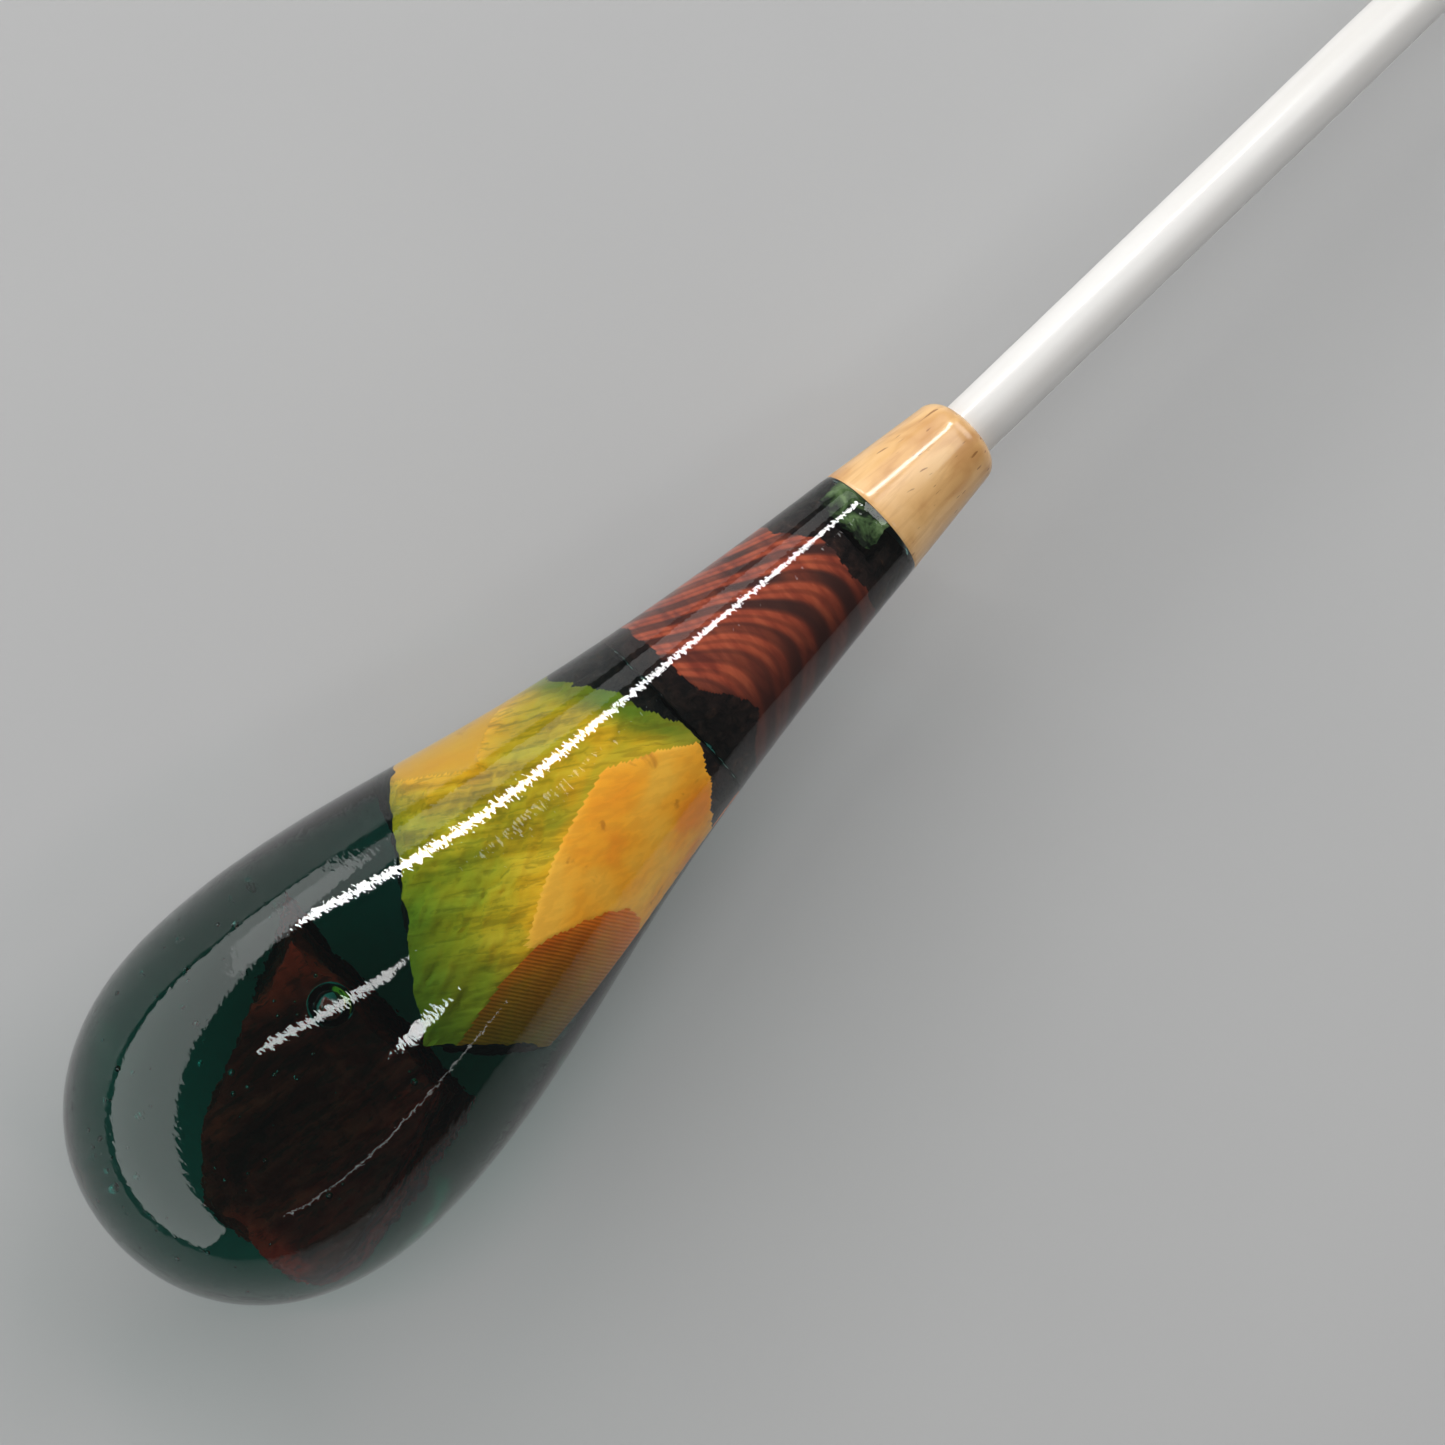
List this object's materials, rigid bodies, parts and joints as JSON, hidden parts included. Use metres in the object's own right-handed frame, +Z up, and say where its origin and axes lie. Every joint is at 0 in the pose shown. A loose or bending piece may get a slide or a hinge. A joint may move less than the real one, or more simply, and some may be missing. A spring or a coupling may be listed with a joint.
{
  "type": "conductor baton",
  "caption": "Hand-turned baton: white tapered shaft glued into a pear-shaped handle of wood blocks cast in clear green resin, with a light wood ferrule at the neck.",
  "frame": {"origin": "on the shaft's axis at the ferrule's front face, where the white shaft comes out of the handle", "axes": "+X along the shaft's axis towards the tip, +Z up, with the pictured side of the handle on top; lying on a table the bulb and the tip touch it, and the tip then drops about 2 degrees"},
  "size_m": [0.356, 0.0268, 0.0268],
  "materials": {
    "white_lacquer": "smooth white lacquer over a hardwood rod",
    "epoxy_glue": "cured epoxy, tinted dark",
    "light_wood": "gloss-lacquered maple",
    "green_resin": "clear emerald casting resin, polished to a high gloss",
    "dark_burl": "sawn dark red-brown burl under resin",
    "green_gold_burl": "sawn stabilised burl, orange to yellow-green, under resin",
    "rosewood": "gloss-lacquered rosewood with near-black stripes and dark bark in front",
    "mossy_burl": "mossy green burl chip under gloss"
  },
  "bodies": {
    "root": {"shaft": "white_lacquer", "shaft_glue": "epoxy_glue", "ferrule": "light_wood", "resin_casting": "green_resin", "dark_burl_block": "dark_burl", "green_burl_block": "green_gold_burl", "rosewood_block": "rosewood", "neck_chip": "mossy_burl"}
  },
  "joints": []
}
